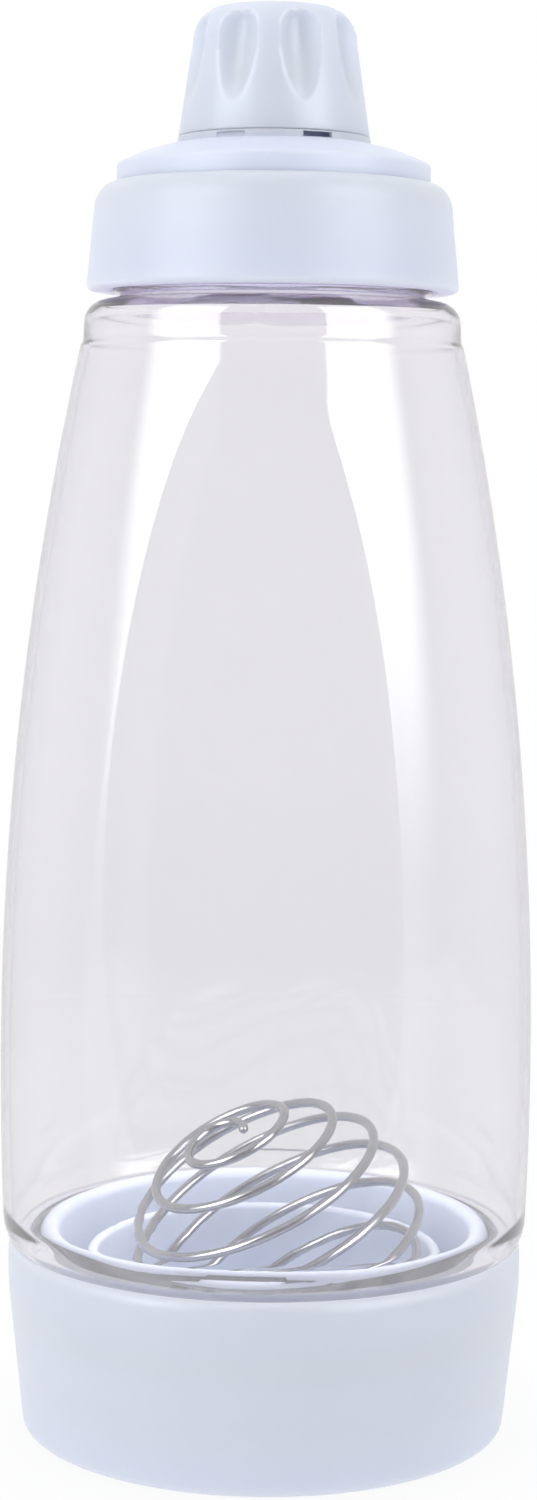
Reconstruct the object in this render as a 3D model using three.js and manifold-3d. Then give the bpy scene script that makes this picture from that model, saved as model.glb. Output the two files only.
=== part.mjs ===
// A batter dispenser: a clear squeeze bottle with a screw-on base, a two-piece screw lid, a fluted twist cap
// over its spout and a wire whisk ball inside. Millimetres, +Z up, the front of the bottle faces -Y.
import * as THREE from 'three';
import { mergeVertices } from 'three/addons/utils/BufferGeometryUtils.js';
import Module from 'manifold-3d';

const wasm = await Module();
wasm.setup();

// Fits shared by all pieces
const GAP = 0.3; // between two pieces that seat on each other
const THREAD_GAP = 0.4; // between a thread's crest and the wall that it faces
const SIDES = 36; // facets round the larger turned pieces
const SMALL_SIDES = 24; // facets round the pieces inside the spout
const BOTTLE_SIDES = 72; // facets round the bottle, finer for the edges of its panels

// Base cup
const BASE_RIM_RADIUS = 48.5;
const BASE_FOOT_RADIUS = 45.6;
const BASE_FOOT_CORNER = 2;
const BASE_RIM_ROUND = 1.3; // reach inwards of the rim's rounded edge
const BASE_RIM_DROP = 2.2; // height of that edge
const BASE_TAPER_HEIGHT = 28; // the wall flares up to here and is straight above
const BASE_WALL = 2.2; // at the threaded mouth
const FOOT_RING_WIDTH = 4;
const FOOT_RECESS = 6.9;
const FLOOR_THICKNESS = 3;
const CHANNEL_STEP = 1.6; // the cup is this much narrower below its thread
const GUARD_WALL = 3.6; // broad round-topped ring inside the bottle's lower neck
const GUARD_HEIGHT = 2.5; // of that ring above the heel
const NEST_WALL = 2; // round-topped ring that keeps the ball in the middle
const NEST_DRAFT = 1;
const NEST_HEIGHT = 23.7;
const SEAL_THICKNESS = 1.2;
const SEAL_BEARING = 0.7; // how far the rebate for the seal reaches into the rim

// Bottle
const WALL = 1.6;
const BELLY_RADIUS = 50;
const BELLY_HEIGHT = 32; // above the heel
const HEEL_SET_BACK = 0.3; // how far the heel stands in from the base's rim
const HEEL_ROUND = 5; // height over which the heel rounds into the belly
const HEEL_SET_IN = 0.5; // how much narrower the bottle is at the top of that rounding
const SHOULDER_RADIUS = 35.5;
const BAND_HEIGHT = 166.4; // where the shoulder band starts, above the heel
const BAND_STEP = 0.6;
const BAND_TAPER = 0.3;
const BAND_LENGTH = 4;
const SHOULDER_CORNER = 4.2;
const SHOULDER_RISE = 1.2; // from the corner up to the neck
const LOWER_NECK_LENGTH = 14;
const LOWER_NECK_WALL = 1.6;
const NECK_END_GAP = 12.4; // below the lower neck, above the cup's floor
const UPPER_NECK_WALL = 2.1;
const BEAD_HEIGHT = 1.1;
const BEAD_REACH = 1.3;
const PANEL_TOP = 164.6; // apex of the grip panel, above the heel
const PANEL_TURN = 55.7; // the panel is straight above this height and runs out below it
const PANEL_DISTANCE = 41.9; // of the panel from the axis at that height
const PANEL_BOTTOM = 9.7;

// Collar and spout piece
const COLLAR_RADIUS = 34.4;
const COLLAR_DRAFT = 1.4;
const COLLAR_HEIGHT = 19.5;
const COLLAR_WALL = 3.8;
const COLLAR_CORNER = 3.7; // reach inwards of the collar's rounded upper edge
const COLLAR_CORNER_DROP = 5.2;
const COLLAR_EDGE = 1;
const COLLAR_LIFT = 1.2; // above the top of the shoulder
const LIP_THICKNESS = 2.3;
const LIP_REACH = 1.45;
const FLANGE_POCKET = 0.4; // how much wider the collar is round the flange
const FLANGE_THICKNESS = 1.7;
const GASKET_THICKNESS = 1.2;
const DISC_EDGE = 3.5; // upright edge of the disc above the collar
const DISC_EDGE_ROUND = 0.8;
const DISC_RISE = 3.6; // from that edge up to the slotted ring
const DISC_WALL = 1.9;
const RING_REACH = 0.15; // the slotted ring is this much wider than the cap's skirt
const RING_WALL = 1.4;
const RING_HEIGHT = 1.15;
const SLOT_WIDTH = 5.8;
const SLOT_TURNS = [30.5, 210.5]; // degrees from the front, towards +X
const NOTCH_TURNS = [-22.1, 157.9]; // blind ones
const NOTCH_DEPTH = 0.5;
const SPOUT_WALL = 1.9;
const SPOUT_STRAIGHT = 10.6; // threaded length of the spout above the ring's floor
const TIP_RADIUS = 7;
const TIP_LENGTH = 7;
const TIP_BORE = 5;
const TIP_LAND = 1.5; // straight length of the mouth
const SEAT_REACH = 2; // of the valve's seat into the spout
const SEAT_DROP = 2.3; // of the seat below the spout's cone

// Slit valve and its retainer
const VALVE_FLANGE = 1.5;
const VALVE_WALL = 0.9;
const VALVE_DISH = 2;
const SLIT_LENGTH = 9;
const SLIT_WIDTH = 0.3;
const RETAINER_WALL = 2.1;
const RETAINER_HEIGHT = 2.6;

// Twist cap and its stopper
const CAP_RADIUS = 17.6;
const CAP_HEIGHT = 23.25;
const CAP_TAPER = 2.5; // the cone loses this much radius below the rounded top
const CAP_CORNER = 5.4; // reach inwards of the rounded top's edge
const CAP_CORNER_RISE = 6.5;
const CAP_WALL = 3.6; // at the threaded skirt
const CAP_THREAD_DEPTH = 9.2;
const CAP_TOP_WALL = 2.8;
const PLUG_POCKET_RADIUS = 10;
const FLUTES = 8;
const FLUTE_DEPTH = 2.35;
const FLUTE_HALF_TURN = 15; // degrees, at the flute's widest
const FLUTE_TOP = 21.6;
const FLUTE_BOTTOM = 5;
const FLUTE_DEEPEST = 16.5; // height of the flute's widest and deepest place
const FLUTE_TOP_BLUNTNESS = 4; // exponents: the larger, the blunter that end of the flute
const FLUTE_BOTTOM_BLUNTNESS = 1.6;
const CAP_SIDES = 6 * FLUTES;
const PLUG_STEM = 3.4;
const PLUG_CHAMFER = 0.8;

// Whisk ball: one wire wound over a sphere from pole to pole
const BALL_RADIUS = 28.9; // round its equator
const BALL_FLATNESS = 0.85; // its height along the winding's axis as a share of its width
const WIRE_RADIUS = 0.9;
const BALL_TURNS = 7.75;
const BALL_POLE = 0.225; // radians from the axis to the first loop
const BALL_PLAY = 2.7; // between the ball and the wall of its nest
const BALL_LEAN = new THREE.Vector2(2.43, 0.18); // the ball rests against one side of the nest
const BALL_AXIS = new THREE.Vector3(-0.426, -0.226, 0.876).normalize();
const BALL_PHASE = 141.3;
const HOOK_TURNS = 0.36;
const HOOK_RADIUS = 3.9;
const HOOK_DIP = 0.8;
const LOOP_STEPS = 24;
const WIRE_SIDES = 6;

// Threads: right-handed, two ridges each. A ridge is widest at its root.
const STARTS = 2;
const BASE_THREAD = { lead: 8, height: 1.5, root: 2.2, crest: 1.2, sweep: 210, step: 10 };
const LID_THREAD = { lead: 8, height: 2, root: 1.9, crest: 1, sweep: 210, step: 10 };
const CAP_THREAD = { lead: 6, height: 1.4, root: 1.5, crest: 0.8, sweep: 180, step: 15 };
const THREAD_RUN_IN = 2.4; // from a neck's end to the middle of its ridge's first turn
const RIDGE_SINK = 0.5; // how far a ridge is rooted in its wall
const RIDGE_END = 0.25; // share of its height that a ridge has at its ends

// Radii worked out from the outside in
const baseBore = BASE_RIM_RADIUS - BASE_WALL;
const lowerNeck = baseBore - THREAD_GAP - BASE_THREAD.height;
const lowerNeckInner = lowerNeck - LOWER_NECK_WALL;
const heelRadius = BASE_RIM_RADIUS - HEEL_SET_BACK;
const channelRadius = baseBore - CHANNEL_STEP;
const guardOuter = lowerNeckInner - GAP;
const guardInner = guardOuter - GUARD_WALL;
const rebateRadius = baseBore + SEAL_BEARING;
const nestInner = BALL_RADIUS + BALL_PLAY;
const nestOuter = nestInner + NEST_WALL;
const collarBore = COLLAR_RADIUS - COLLAR_WALL;
const upperNeck = collarBore - THREAD_GAP - LID_THREAD.height;
const upperNeckInner = upperNeck - UPPER_NECK_WALL;
const lipRadius = collarBore - LIP_REACH;
const pocketRadius = collarBore + FLANGE_POCKET;
const discRadius = lipRadius - GAP;
const capBore = CAP_RADIUS - CAP_WALL;
const spoutRadius = capBore - THREAD_GAP - CAP_THREAD.height;
const spoutInner = spoutRadius - SPOUT_WALL;
const ringRadius = CAP_RADIUS + RING_REACH;

// Heights in the base's frame, whose zero is the foot
const floorTop = FOOT_RECESS + FLOOR_THICKNESS;
const neckEnd = floorTop + NECK_END_GAP;
const heelHeight = neckEnd + LOWER_NECK_LENGTH;
const baseHeight = heelHeight - GAP;
const rebateFloor = baseHeight - SEAL_THICKNESS - GAP;

// Heights in the bottle's frame, whose zero is the heel
const cornerHeight = BAND_HEIGHT + BAND_LENGTH;
const bodyTop = cornerHeight + SHOULDER_CORNER + SHOULDER_RISE;
const collarFoot = bodyTop + COLLAR_LIFT;
const lowerThreadStart = THREAD_RUN_IN + BASE_THREAD.root / 2 - LOWER_NECK_LENGTH;

// Heights in the lid's frame, whose zero is the collar's lower edge
const lipFloor = COLLAR_HEIGHT - LIP_THICKNESS;
const flangeTop = lipFloor - GAP;
const flangeFloor = flangeTop - FLANGE_THICKNESS;
const gasketTop = flangeFloor - GAP;
const gasketFloor = gasketTop - GASKET_THICKNESS;
const neckTop = gasketFloor - GAP;
const discTop = COLLAR_HEIGHT + DISC_EDGE;
const ringFloor = discTop + DISC_RISE;
const ringTop = ringFloor + RING_HEIGHT;
const coneFoot = ringFloor + SPOUT_STRAIGHT;
const tipTop = coneFoot + TIP_LENGTH;
const capFoot = ringTop + GAP;
const valveSeat = coneFoot - SEAT_DROP;
const upperRidgeTop = neckTop - THREAD_RUN_IN - LID_THREAD.root / 2;
const upperThreadStart = upperRidgeTop - (LID_THREAD.lead * LID_THREAD.sweep) / 360;
const spoutRidgeTop = coneFoot - GAP - CAP_THREAD.root / 2;
const spoutThreadStart = spoutRidgeTop - (CAP_THREAD.lead * CAP_THREAD.sweep) / 360;

const WHITE_PLASTIC = new THREE.MeshStandardMaterial({ color: 0xdfe5f0, roughness: 0.45 });
const CLEAR_PLASTIC = new THREE.MeshStandardMaterial({
  color: 0xe6e6ea, roughness: 0.12, transparent: true, opacity: 0.35,
});
const SILICONE = new THREE.MeshStandardMaterial({ color: 0xe9e6e6, roughness: 0.6 });
const STEEL = new THREE.MeshStandardMaterial({ color: 0xb9bbbd, roughness: 0.2, metalness: 1 });

const degrees = THREE.MathUtils.degToRad;

// Points of a round stretch of an outline, angles in degrees from the +radius direction. It may be oval.
function arc(centreR, centreZ, radius, from, to, steps, rise = radius) {
  return Array.from({ length: steps + 1 }, (_, i) => {
    const angle = degrees(from + ((to - from) * i) / steps);
    return [centreR + radius * Math.cos(angle), centreZ + rise * Math.sin(angle)];
  });
}

// Turns a closed outline of [radius, height] points, outer side upwards, about the Z axis. Angles start at -Y.
function revolve(outline, sides) {
  const points = outline.map(([r, z]) => new THREE.Vector2(r, z));
  points.push(points[0].clone());
  return new THREE.LatheGeometry(points, sides).rotateX(Math.PI / 2);
}

function flatRing(inner, outer, floor, top, sides) {
  return revolve([[inner, floor], [outer, floor], [outer, top], [inner, top]], sides);
}

function toSolid(geometry) {
  const bare = geometry.clone();
  bare.deleteAttribute('normal');
  bare.deleteAttribute('uv');
  const merged = mergeVertices(bare, 1e-4);
  const index = merged.index.array;
  const triVerts = [];
  for (let i = 0; i < index.length; i += 3) {
    const [a, b, c] = index.slice(i, i + 3);
    if (a !== b && b !== c && c !== a) triVerts.push(a, b, c);
  }
  const vertProperties = merged.attributes.position.array;
  return new wasm.Manifold(new wasm.Mesh({ numProp: 3, vertProperties, triVerts: new Uint32Array(triVerts) }));
}

function toGeometry(solid) {
  const mesh = solid.getMesh();
  const geometry = new THREE.BufferGeometry();
  geometry.setAttribute('position', new THREE.BufferAttribute(mesh.vertProperties, 3));
  geometry.setIndex(new THREE.BufferAttribute(mesh.triVerts, 1));
  geometry.computeVertexNormals();
  return geometry;
}

// Closed skin over rings that hold equally many points, with the first and last ring capped
function skin(rings) {
  const count = rings[0].length;
  const index = [];
  for (let i = 0; i + 1 < rings.length; i += 1) {
    for (let j = 0; j < count; j += 1) {
      const a = i * count + j;
      const b = i * count + ((j + 1) % count);
      index.push(a, b, b + count, a, b + count, a + count);
    }
  }
  const last = (rings.length - 1) * count;
  for (let j = 1; j + 1 < count; j += 1) {
    index.push(0, j + 1, j, last, last + j, last + j + 1);
  }
  const geometry = new THREE.BufferGeometry().setFromPoints(rings.flat());
  geometry.setIndex(index);
  geometry.computeVertexNormals();
  return geometry;
}

// The ridges of one thread: they climb with the angle, from height start at the front
function addThread(body, thread, rootRadius, crestRadius, start) {
  const outwards = Math.sign(crestRadius - rootRadius);
  const sunk = rootRadius - outwards * RIDGE_SINK;
  const steps = Math.round(thread.sweep / thread.step);
  let solid = body;
  for (let k = 0; k < STARTS; k += 1) {
    const rings = [];
    for (let i = 0; i <= steps; i += 1) {
      const climb = (thread.lead * thread.step * i) / 360 + start;
      const angle = degrees(thread.step * i + (360 * k) / STARTS);
      const share = i === 0 || i === steps ? RIDGE_END : 1;
      const crest = rootRadius + (crestRadius - rootRadius) * share;
      const at = (r, z) => new THREE.Vector3(r * Math.sin(angle), -r * Math.cos(angle), climb + z);
      const half = [thread.root / 2, thread.crest / 2];
      const ring = [at(sunk, -half[0]), at(crest, -half[1]), at(crest, half[1]), at(sunk, half[0])];
      rings.push(outwards > 0 ? ring.reverse() : ring);
    }
    solid = solid.add(toSolid(skin(rings)));
  }
  return solid;
}

function makeBaseCup() {
  const footInner = BASE_FOOT_RADIUS - BASE_FOOT_CORNER - FOOT_RING_WIDTH;
  const edgeFoot = baseHeight - BASE_RIM_DROP;
  const channelTop = neckEnd - GAP;
  const guardTop = heelHeight + GUARD_HEIGHT;
  const nestTop = floorTop + NEST_HEIGHT;
  const cup = revolve([
    [footInner, 0],
    ...arc(BASE_FOOT_RADIUS - BASE_FOOT_CORNER, BASE_FOOT_CORNER, BASE_FOOT_CORNER, -90, 0, 3),
    [BASE_RIM_RADIUS, BASE_TAPER_HEIGHT],
    ...arc(BASE_RIM_RADIUS - BASE_RIM_ROUND, edgeFoot, BASE_RIM_ROUND, 0, 90, 3, BASE_RIM_DROP),
    [rebateRadius, baseHeight],
    [rebateRadius, rebateFloor],
    [baseBore, rebateFloor],
    [baseBore, channelTop],
    [channelRadius, channelTop - CHANNEL_STEP],
    [channelRadius, floorTop],
    [guardOuter, floorTop],
    ...arc((guardOuter + guardInner) / 2, guardTop - GUARD_WALL / 2, GUARD_WALL / 2, 0, 180, 6),
    [guardInner, floorTop],
    [nestOuter + NEST_DRAFT, floorTop],
    ...arc((nestOuter + nestInner) / 2, nestTop - NEST_WALL / 2, NEST_WALL / 2, 0, 180, 4),
    [nestInner - NEST_DRAFT, floorTop],
    [0, floorTop],
    [0, FOOT_RECESS],
    [footInner, FOOT_RECESS],
  ], SIDES);
  const crest = lowerNeck + THREAD_GAP;
  const start = heelHeight + lowerThreadStart + BASE_THREAD.lead / STARTS / 2;
  return toGeometry(addThread(toSolid(cup), BASE_THREAD, baseBore, crest, start));
}

function makeBaseSeal() {
  return flatRing(lowerNeck + GAP, rebateRadius - GAP, -GAP - SEAL_THICKNESS, -GAP, SIDES);
}

// Outer radius of the bottle by height above its heel, from the heel's rounding to the shoulder band
function bodyRadius(z) {
  const rise = z - BELLY_HEIGHT;
  const span = rise > 0 ? BAND_HEIGHT - BELLY_HEIGHT : BELLY_HEIGHT - HEEL_ROUND;
  const drop = rise > 0 ? BELLY_RADIUS - SHOULDER_RADIUS : HEEL_SET_IN;
  const bend = (span * span + drop * drop) / (2 * drop);
  return BELLY_RADIUS - bend + Math.sqrt(bend * bend - rise * rise);
}

// Side view of what a grip panel takes off the bottle: straight above its turn, a parabola below
function panelCut(inset) {
  const topDistance = bodyRadius(PANEL_TOP);
  const slope = (PANEL_DISTANCE - topDistance) / (PANEL_TOP - PANEL_TURN);
  const run = PANEL_TURN - PANEL_BOTTOM;
  const bend = (bodyRadius(PANEL_BOTTOM) - PANEL_DISTANCE - slope * run) / (run * run);
  const points = [[topDistance - slope * HEEL_ROUND, PANEL_TOP + HEEL_ROUND], [PANEL_DISTANCE, PANEL_TURN]];
  const steps = 8;
  for (let i = 1; i <= steps; i += 1) {
    const drop = (run * i) / steps;
    points.push([PANEL_DISTANCE + slope * drop + bend * drop * drop, PANEL_TURN - drop]);
  }
  const outside = 2 * BELLY_RADIUS;
  const face = points.map(([d, z]) => [d - inset, z]);
  const side = [[outside, PANEL_TOP + HEEL_ROUND], ...face, [outside, PANEL_BOTTOM]];
  const shape = new THREE.Shape(side.map(([d, z]) => new THREE.Vector2(-d, z)));
  const width = 2 * BELLY_RADIUS;
  const block = new THREE.ExtrudeGeometry(shape, { depth: width, bevelEnabled: false });
  block.translate(0, 0, -width / 2).rotateX(Math.PI / 2).rotateZ(Math.PI / 2);
  return toSolid(block);
}

function cutPanels(body, inset) {
  const front = panelCut(inset);
  return body.subtract(front).subtract(front.rotate([0, 0, 180]));
}

function makeBottle() {
  const sideSteps = [HEEL_ROUND, (HEEL_ROUND + BELLY_HEIGHT) / 2];
  const upperSteps = 12;
  for (let i = 0; i <= upperSteps; i += 1) {
    sideSteps.push(BELLY_HEIGHT + ((BAND_HEIGHT - BELLY_HEIGHT) * i) / upperSteps);
  }
  const bandRadius = SHOULDER_RADIUS - BAND_STEP;
  const cornerRadius = bandRadius - BAND_TAPER;
  const neckRim = collarFoot + neckTop;
  const beadFoot = collarFoot - BEAD_HEIGHT / 2;
  const sideFoot = bodyRadius(HEEL_ROUND);
  const heelMiddle = [(heelRadius + 2 * sideFoot) / 3, HEEL_ROUND / 2];
  const outer = revolve([
    [0, -LOWER_NECK_LENGTH],
    [lowerNeck, -LOWER_NECK_LENGTH],
    [lowerNeck, 0],
    [heelRadius, 0],
    heelMiddle,
    ...sideSteps.map((z) => [bodyRadius(z), z]),
    [bandRadius, BAND_HEIGHT],
    ...arc(cornerRadius - SHOULDER_CORNER, cornerHeight, SHOULDER_CORNER, 0, 70, 3),
    [upperNeck, bodyTop],
    [upperNeck, beadFoot],
    [upperNeck + BEAD_REACH, beadFoot + BEAD_HEIGHT / 4],
    [upperNeck + BEAD_REACH, beadFoot + BEAD_HEIGHT],
    [upperNeck, beadFoot + 2 * BEAD_HEIGHT],
    [upperNeck, neckRim],
    [0, neckRim],
  ], BOTTLE_SIDES);
  const overshoot = WALL;
  const inner = revolve([
    [0, -LOWER_NECK_LENGTH - overshoot],
    [lowerNeckInner, -LOWER_NECK_LENGTH - overshoot],
    [lowerNeckInner, LOWER_NECK_WALL],
    [Math.min(heelRadius, sideFoot) - WALL, LOWER_NECK_WALL],
    ...sideSteps.map((z) => [bodyRadius(z) - WALL, z]),
    [cornerRadius - WALL, cornerHeight],
    [cornerRadius - SHOULDER_CORNER, cornerHeight + SHOULDER_CORNER - WALL],
    [upperNeckInner, bodyTop - WALL],
    [upperNeckInner, neckRim + overshoot],
    [0, neckRim + overshoot],
  ], BOTTLE_SIDES);
  let shell = cutPanels(toSolid(outer), 0).subtract(cutPanels(toSolid(inner), WALL));
  shell = addThread(shell, BASE_THREAD, lowerNeck, lowerNeck + BASE_THREAD.height, lowerThreadStart);
  const upperStart = collarFoot + upperThreadStart;
  return toGeometry(addThread(shell, LID_THREAD, upperNeck, upperNeck + LID_THREAD.height, upperStart));
}

function makeCollar() {
  const sideTop = COLLAR_HEIGHT - COLLAR_CORNER_DROP;
  const topRadius = COLLAR_RADIUS - COLLAR_DRAFT;
  const collar = revolve([
    [collarBore, 0],
    ...arc(COLLAR_RADIUS - COLLAR_EDGE, COLLAR_EDGE, COLLAR_EDGE, -90, 0, 2),
    ...arc(topRadius - COLLAR_CORNER, sideTop, COLLAR_CORNER, 0, 90, 5, COLLAR_CORNER_DROP),
    [lipRadius, COLLAR_HEIGHT],
    [lipRadius, lipFloor],
    [pocketRadius, lipFloor],
    [pocketRadius, gasketFloor],
    [collarBore, gasketFloor - FLANGE_POCKET],
  ], SIDES);
  const crest = upperNeck + THREAD_GAP;
  const start = upperThreadStart - LID_THREAD.lead / STARTS / 2;
  return toGeometry(addThread(toSolid(collar), LID_THREAD, collarBore, crest, start));
}

function makeGasket() {
  return flatRing(upperNeckInner, collarBore - GAP, gasketFloor, gasketTop, SIDES);
}

function makeSpout() {
  const domeInner = discRadius - DISC_WALL;
  const spout = revolve([
    [domeInner, flangeFloor],
    [pocketRadius - GAP, flangeFloor],
    [pocketRadius - GAP, flangeTop],
    [discRadius, flangeTop],
    ...arc(discRadius - DISC_EDGE_ROUND, discTop - DISC_EDGE_ROUND, DISC_EDGE_ROUND, 0, 70, 2),
    [ringRadius, ringFloor],
    [ringRadius, ringTop],
    [ringRadius - RING_WALL, ringTop],
    [ringRadius - RING_WALL, ringFloor],
    [spoutRadius, ringFloor],
    [spoutRadius, coneFoot],
    [TIP_RADIUS, tipTop],
    [TIP_BORE, tipTop],
    [TIP_BORE, tipTop - TIP_LAND],
    [spoutInner - SEAT_REACH, coneFoot],
    [spoutInner - SEAT_REACH, valveSeat],
    [spoutInner, valveSeat],
    [spoutInner, ringFloor - DISC_WALL],
    [ringRadius, ringFloor - DISC_WALL],
    [domeInner, discTop - DISC_WALL],
  ], SIDES);
  const crest = spoutRadius + CAP_THREAD.height;
  let solid = addThread(toSolid(spout), CAP_THREAD, spoutRadius, crest, spoutThreadStart);
  const slots = SLOT_TURNS.map((turn) => [turn, 1.5 * RING_WALL]);
  const notches = NOTCH_TURNS.map((turn) => [turn, NOTCH_DEPTH]);
  for (const [turn, depth] of [...slots, ...notches]) {
    const slot = new THREE.BoxGeometry(SLOT_WIDTH, 2 * depth, RING_HEIGHT);
    slot.translate(0, -ringRadius, ringFloor + RING_HEIGHT / 2 + GAP / 2);
    slot.rotateZ(degrees(turn));
    solid = solid.subtract(toSolid(slot));
  }
  return toGeometry(solid);
}

function makeValve() {
  const outer = spoutInner - GAP;
  const inner = outer - RETAINER_WALL;
  const top = valveSeat - GAP;
  const floor = top - VALVE_FLANGE;
  const bend = (inner * inner + VALVE_DISH * VALVE_DISH) / (2 * VALVE_DISH);
  const reach = THREE.MathUtils.radToDeg(Math.asin(inner / bend));
  const bottom = top - VALVE_DISH;
  const valve = revolve([
    ...arc(0, bottom - VALVE_WALL + bend, bend, -90, -90 + reach, 4),
    [outer, floor],
    [outer, top],
    ...arc(0, bottom + bend, bend, -90 + reach, -90, 4),
  ], SMALL_SIDES);
  let solid = toSolid(valve);
  for (const turn of [0, 90]) {
    const slit = new THREE.BoxGeometry(SLIT_LENGTH, SLIT_WIDTH, 4 * VALVE_DISH).translate(0, 0, bottom);
    solid = solid.subtract(toSolid(slit.rotateZ(degrees(turn))));
  }
  return toGeometry(solid);
}

function makeRetainer() {
  const outer = spoutInner - GAP;
  const top = valveSeat - VALVE_FLANGE - 2 * GAP;
  return flatRing(outer - RETAINER_WALL, outer, top - RETAINER_HEIGHT, top, SMALL_SIDES);
}

// Depth of a flute: a rounded hollow, blunt at its top and narrowing downwards
function fluteDepth(turn, z) {
  const pitch = 360 / FLUTES;
  const offset = Math.abs(((((turn + pitch / 2) % pitch) + pitch) % pitch) - pitch / 2);
  const upper = z > FLUTE_DEEPEST;
  const along = (z - FLUTE_DEEPEST) / ((upper ? FLUTE_TOP : FLUTE_BOTTOM) - FLUTE_DEEPEST);
  const across = offset / FLUTE_HALF_TURN;
  const fall = along ** (upper ? FLUTE_TOP_BLUNTNESS : FLUTE_BOTTOM_BLUNTNESS);
  return FLUTE_DEPTH * Math.max(0, 1 - fall - across * across);
}

function makeCap() {
  const top = CAP_HEIGHT - CAP_TOP_WALL;
  const sideTop = CAP_HEIGHT - CAP_CORNER_RISE;
  const cornerRadius = CAP_RADIUS - CAP_TAPER;
  const sideRows = 9;
  const side = Array.from({ length: sideRows }, (_, i) => {
    const share = i / sideRows;
    return [CAP_RADIUS - CAP_TAPER * share, sideTop * share];
  });
  const corner = arc(cornerRadius - CAP_CORNER, sideTop, CAP_CORNER, 0, 90, 5, CAP_CORNER_RISE);
  const outerRows = [...side, ...corner];
  const cap = revolve([
    [capBore, 0],
    ...outerRows,
    [0, CAP_HEIGHT],
    [0, top],
    [PLUG_POCKET_RADIUS, top],
    [PLUG_POCKET_RADIUS, tipTop + GAP - capFoot],
    [capBore, CAP_THREAD_DEPTH],
  ], CAP_SIDES);
  const position = cap.attributes.position;
  for (let i = 0; i < position.count; i += 1) {
    const x = position.getX(i);
    const y = position.getY(i);
    const z = position.getZ(i);
    const radius = Math.hypot(x, y);
    const onSide = outerRows.some(([r, h]) => Math.hypot(r - radius, h - z) < 1e-3);
    const turn = THREE.MathUtils.radToDeg(Math.atan2(x, -y)) - 180 / FLUTES;
    const keep = onSide ? 1 - fluteDepth(turn, z) / radius : 1;
    position.setXY(i, x * keep, y * keep);
  }
  const crest = spoutRadius + THREAD_GAP;
  const start = spoutThreadStart - CAP_THREAD.lead / STARTS / 2 - capFoot;
  return toGeometry(addThread(toSolid(cap), CAP_THREAD, capBore, crest, start));
}

function makePlug() {
  const floor = tipTop + GAP - capFoot;
  const stem = TIP_BORE - GAP;
  return revolve([
    [0, floor - PLUG_STEM],
    [stem - PLUG_CHAMFER, floor - PLUG_STEM],
    [stem, floor - PLUG_STEM + PLUG_CHAMFER],
    [stem, floor],
    [PLUG_POCKET_RADIUS - GAP, floor],
    [PLUG_POCKET_RADIUS - GAP, CAP_HEIGHT - CAP_TOP_WALL - GAP],
    [0, CAP_HEIGHT - CAP_TOP_WALL - GAP],
  ], SMALL_SIDES);
}

// Middle line of the ball's wire: a hook, the winding from pole to pole, and a second hook
function ballPath() {
  const radius = BALL_RADIUS - WIRE_RADIUS;
  const around = (r, turn, z) => new THREE.Vector3(r * Math.cos(turn), r * Math.sin(turn), z);
  const poleRadius = radius * Math.sin(BALL_POLE);
  const poleHeight = BALL_FLATNESS * radius * Math.cos(BALL_POLE);
  const hookSteps = Math.round(HOOK_TURNS * LOOP_STEPS);
  const hook = (side, turn) => Array.from({ length: hookSteps }, (_, i) => {
    const share = (i + 1) / hookSteps;
    const r = poleRadius + (HOOK_RADIUS - poleRadius) * share;
    const height = poleHeight - HOOK_DIP * share * share;
    return around(r, turn - side * 2 * Math.PI * HOOK_TURNS * share, side * height);
  });
  const steps = BALL_TURNS * LOOP_STEPS;
  const winding = Array.from({ length: steps + 1 }, (_, i) => {
    const polar = BALL_POLE + ((Math.PI - 2 * BALL_POLE) * i) / steps;
    const z = BALL_FLATNESS * radius * Math.cos(polar);
    return around(radius * Math.sin(polar), (2 * Math.PI * i) / LOOP_STEPS, z);
  });
  return [...hook(1, 0).reverse(), ...winding, ...hook(-1, 2 * Math.PI * BALL_TURNS)];
}

function wireTube(path) {
  const rings = [];
  let across = new THREE.Vector3(0, 0, 1);
  for (let i = 0; i < path.length; i += 1) {
    const before = path[Math.max(0, i - 1)];
    const after = path[Math.min(path.length - 1, i + 1)];
    const along = after.clone().sub(before).normalize();
    across = across.clone().addScaledVector(along, -across.dot(along)).normalize();
    const up = along.clone().cross(across);
    rings.push(Array.from({ length: WIRE_SIDES }, (_, j) => {
      const turn = (2 * Math.PI * j) / WIRE_SIDES;
      return path[i].clone()
        .addScaledVector(across, WIRE_RADIUS * Math.cos(turn))
        .addScaledVector(up, WIRE_RADIUS * Math.sin(turn));
    }));
  }
  return skin(rings);
}

// Least gap of the wire to itself, between points that are at least half a loop apart along it
function leastGap(path) {
  let least = Infinity;
  for (let i = 0; i < path.length; i += 1) {
    for (let j = i + LOOP_STEPS / 2; j < path.length; j += 1) {
      least = Math.min(least, path[i].distanceTo(path[j]));
    }
  }
  return least - 2 * WIRE_RADIUS;
}

const dispenser = new THREE.Group();
const bottleGroup = new THREE.Group();
const lidGroup = new THREE.Group();
const capGroup = new THREE.Group();
bottleGroup.position.z = heelHeight;
lidGroup.position.z = collarFoot;
capGroup.position.z = capFoot;
dispenser.add(bottleGroup);
bottleGroup.add(lidGroup);
lidGroup.add(capGroup);

function addPiece(parent, name, geometry, material) {
  const mesh = new THREE.Mesh(geometry, material);
  mesh.name = name;
  parent.add(mesh);
  return mesh;
}

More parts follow.
